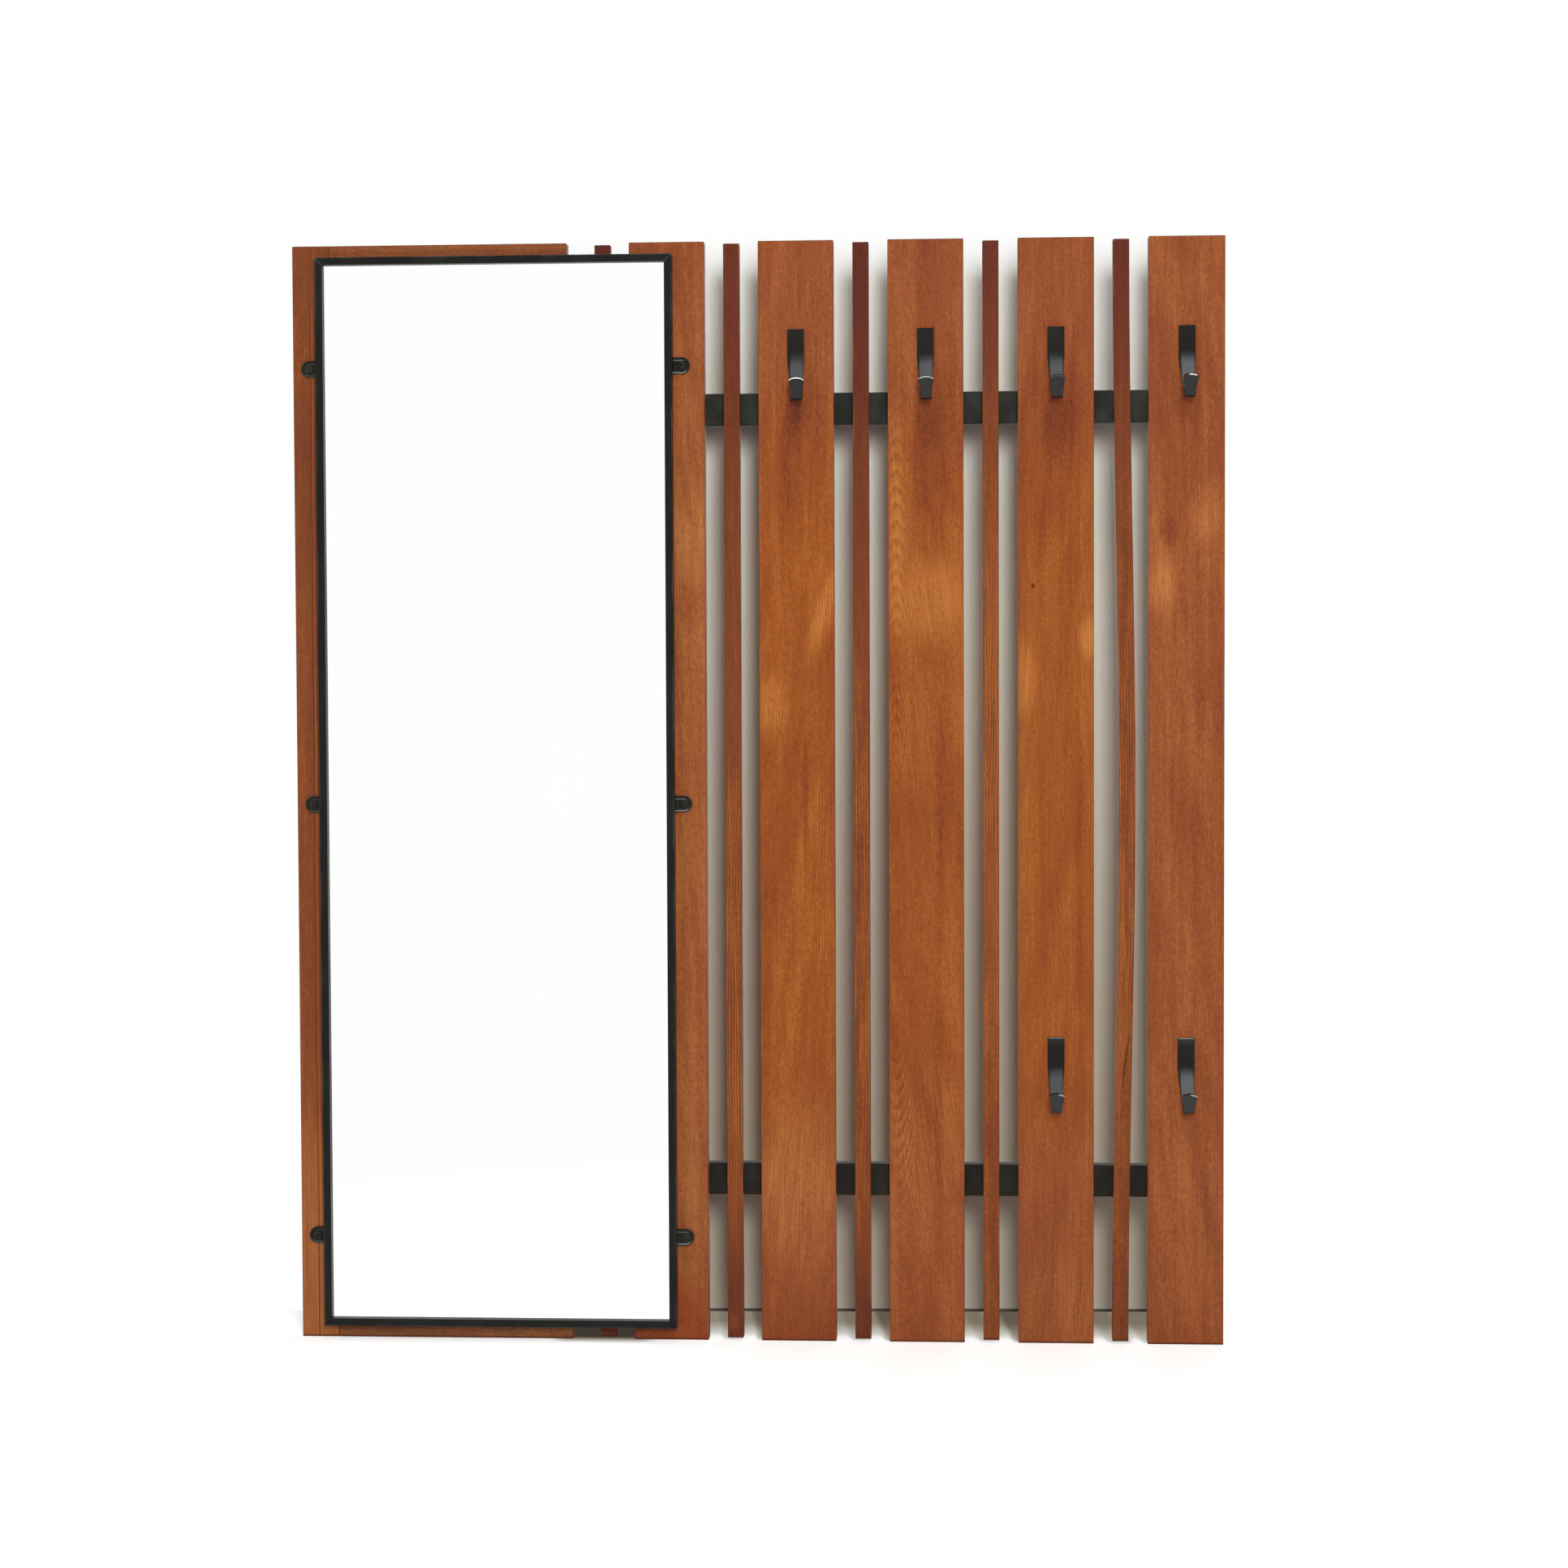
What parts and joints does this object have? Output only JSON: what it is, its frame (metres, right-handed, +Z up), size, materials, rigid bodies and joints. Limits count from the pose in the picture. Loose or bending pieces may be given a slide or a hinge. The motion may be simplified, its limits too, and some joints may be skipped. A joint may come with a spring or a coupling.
{
  "type": "wall coat rack with mirror",
  "caption": "Slatted wooden wall rack with a tall framed mirror at its left side and bent-strip coat hooks on its boards, hung by keyholes in the steel tubes behind them.",
  "frame": {"origin": "middle of the four wall keyholes' round entries, on the plane of the wall", "axes": "+X to the right seen from the front, +Z up, +Y into the wall, so the front faces -Y"},
  "size_m": [0.866, 0.0688, 1.026],
  "materials": {
    "oiled_boards": "oiled hardwood, straight grain, orange-brown",
    "dark_battens": "oiled hardwood, redder and darker than the boards",
    "dowel_wood": "plain beech dowel",
    "hardboard": "brown hardboard",
    "black_paint": "black paint, satin, worn at the hooks' tips",
    "black_screws": "black, satin",
    "black_plastic": "matt",
    "zinc_steel": "zinc plated",
    "mirror_glass": "silvered plate glass"
  },
  "bodies": {
    "root": {"tube_upper": "black_paint", "tube_lower": "black_paint", "tube_end_plugs": "black_plastic", "board_1": "oiled_boards", "board_2": "oiled_boards", "board_3": "oiled_boards", "board_4": "oiled_boards", "board_5": "oiled_boards", "batten_1": "dark_battens", "batten_2": "dark_battens", "batten_3": "dark_battens", "batten_4": "dark_battens", "batten_5": "dark_battens", "panel_stile_outer": "oiled_boards", "panel_stile_inner": "oiled_boards", "panel_rail_top": "oiled_boards", "panel_rail_bottom": "oiled_boards", "panel_dowels": "dowel_wood", "board_screws": "zinc_steel", "batten_screws": "zinc_steel", "panel_screws": "zinc_steel", "mirror_frame_top": "black_paint", "mirror_frame_bottom": "black_paint", "mirror_frame_left": "black_paint", "mirror_frame_right": "black_paint", "mirror_glass": "mirror_glass", "mirror_backing": "hardboard", "backing_tabs": "zinc_steel", "mirror_lug_left_top": "black_paint", "mirror_lug_left_middle": "black_paint", "mirror_lug_left_bottom": "black_paint", "mirror_lug_right_top": "black_paint", "mirror_lug_right_middle": "black_paint", "mirror_lug_right_bottom": "black_paint", "lug_screws": "black_screws", "hook_1": "black_paint", "hook_2": "black_paint", "hook_3": "black_paint", "hook_4": "black_paint", "hook_5": "black_paint", "hook_6": "black_paint", "hook_washers": "zinc_steel", "hook_nuts": "zinc_steel"}
  },
  "joints": []
}
